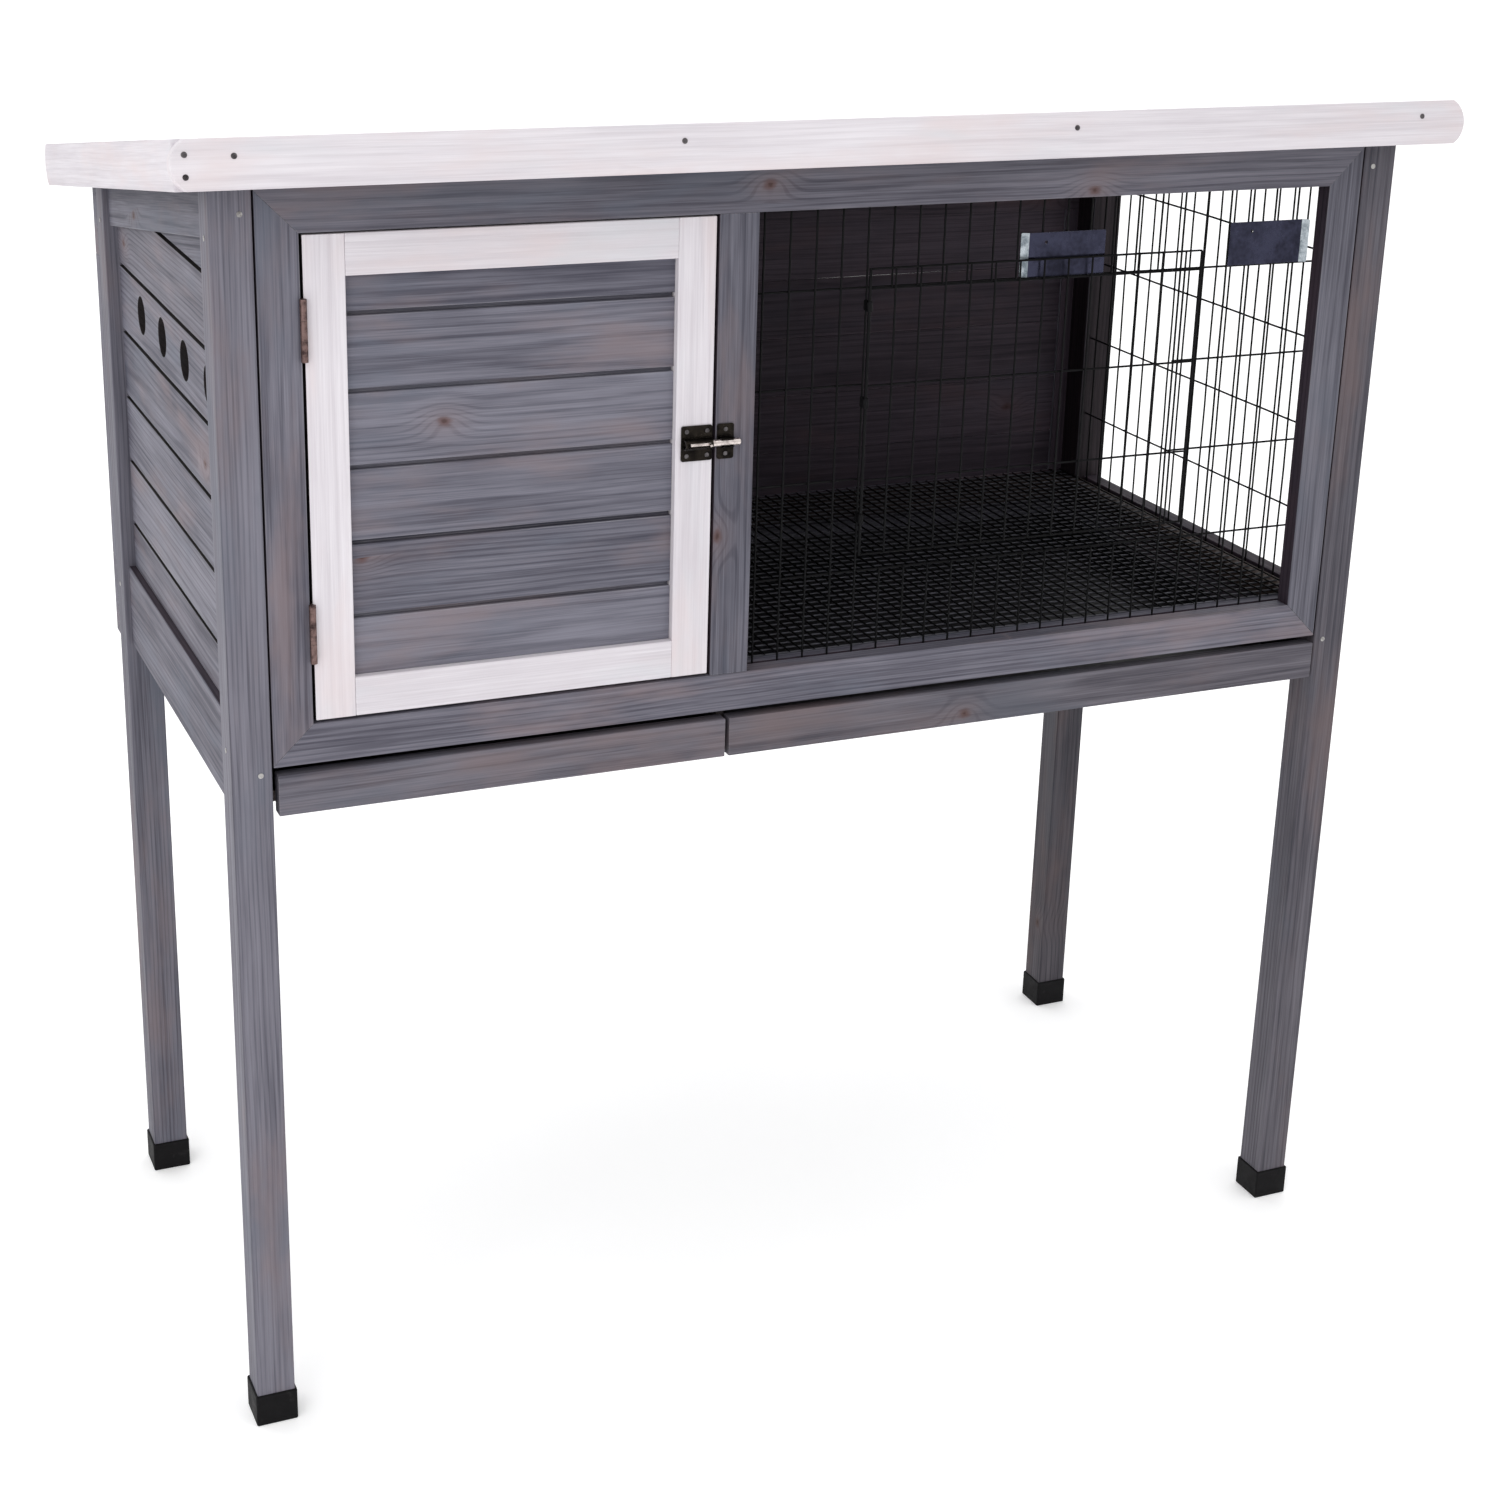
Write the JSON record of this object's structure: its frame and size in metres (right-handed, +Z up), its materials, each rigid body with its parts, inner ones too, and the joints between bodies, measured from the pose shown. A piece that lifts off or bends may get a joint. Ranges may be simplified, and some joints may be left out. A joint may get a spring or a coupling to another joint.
{
  "type": "rabbit hutch",
  "caption": "Raised timber rabbit hutch on legs with a sloping hinged roof, a boarded door, a wire run with its own wire door and slide-out litter trays.",
  "frame": {"origin": "on the ground, under the middle of the hutch's bounding box", "axes": "+X to the right along the front as seen facing it, +Y from the front to the back, +Z up"},
  "size_m": [1.2138, 0.6602, 1.1962],
  "materials": {
    "grey_wood": "grey-blue wood stain, grain and knots showing",
    "white_wood": "thin whitewash over softwood",
    "bare_wood": "dark stained softwood",
    "black_wire": "black powder-coated wire",
    "antique_brass": "dark antique bronze plating",
    "zinc_steel": "dull zinc plating",
    "plate_steel": "shiny dark sheet steel",
    "black_rubber": "matte black rubber",
    "roofing_felt": "mineral-surfaced bitumen felt",
    "tray_plastic": "matte moulded plastic"
  },
  "bodies": {
    "hutch": {"front_left_leg": "grey_wood", "front_right_leg": "grey_wood", "back_left_leg": "grey_wood", "back_right_leg": "grey_wood", "front_top_rail": "grey_wood", "front_bottom_rail": "grey_wood", "front_left_stile": "grey_wood", "front_right_stile": "grey_wood", "front_mullion": "grey_wood", "left_top_rail": "grey_wood", "left_bottom_rail": "grey_wood", "left_end_boards": "grey_wood", "right_top_rail": "grey_wood", "right_bottom_rail": "grey_wood", "back_top_rail": "grey_wood", "back_bottom_rail": "grey_wood", "back_left_stile": "grey_wood", "back_right_stile": "grey_wood", "back_boards": "grey_wood", "partition": "grey_wood", "floor_ledgers": "bare_wood", "side_tray_runners": "bare_wood", "centre_tray_runner": "bare_wood", "foot_caps": "black_rubber", "front_wire_panel": "black_wire", "right_wire_panel": "black_wire", "wire_floor": "black_wire", "mesh_plates": "plate_steel", "wire_door_clips": "black_wire", "door_hinge_frame_leaves": "antique_brass", "bolt_keeper": "antique_brass", "roof_hinge_body_leaves": "zinc_steel", "leg_screws": "zinc_steel", "front_ledger": "grey_wood", "bolt_keeper_screws": "antique_brass"},
    "wooden_door": {"door_hinge_stile": "white_wood", "door_latch_stile": "white_wood", "door_top_rail": "white_wood", "door_bottom_rail": "white_wood", "door_boards": "grey_wood", "door_hinge_leaves": "antique_brass", "bolt_plate": "antique_brass", "bolt_plate_screws": "antique_brass"},
    "bolt": {"latch_bolt": "zinc_steel"},
    "wire_door": {"wire_door": "black_wire"},
    "roof": {"roof_deck": "bare_wood", "roof_felt": "roofing_felt", "roof_rafters": "bare_wood", "roof_cross_battens": "bare_wood", "fascia_board": "white_wood", "left_barge_board": "white_wood", "right_barge_board": "white_wood", "roof_back_trim": "white_wood", "roof_hinge_roof_leaves": "zinc_steel", "fascia_screws": "zinc_steel"},
    "left_tray": {"left_tray_front": "grey_wood", "left_tray_pan": "tray_plastic"},
    "right_tray": {"right_tray_front": "grey_wood", "right_tray_pan": "tray_plastic"}
  },
  "joints": [
    {"name": "wooden_door_hinge", "type": "hinge", "parent": "hutch", "child": "wooden_door", "pos_m": [-0.49675, -0.2808, 0.903], "axis": [0, 0, -1], "range_deg": [0, 110]},
    {"name": "bolt_slide", "type": "slide", "parent": "wooden_door", "child": "bolt", "axis": [-1, 0, 0], "range_m": [0, 0.017]},
    {"name": "wire_door_hinge", "type": "hinge", "parent": "hutch", "child": "wire_door", "pos_m": [0.02, -0.266, 0.92], "axis": [0, 0, -1], "range_deg": [0, 120]},
    {"name": "roof_hinge", "type": "hinge", "parent": "hutch", "child": "roof", "pos_m": [0, 0.2638, 1.06673], "axis": [-1, 0, 0], "range_deg": [0, 85]},
    {"name": "left_tray_slide", "type": "slide", "parent": "hutch", "child": "left_tray", "axis": [0, -1, 0], "range_m": [0, 0.45]},
    {"name": "right_tray_slide", "type": "slide", "parent": "hutch", "child": "right_tray", "axis": [0, -1, 0], "range_m": [0, 0.45]}
  ]
}
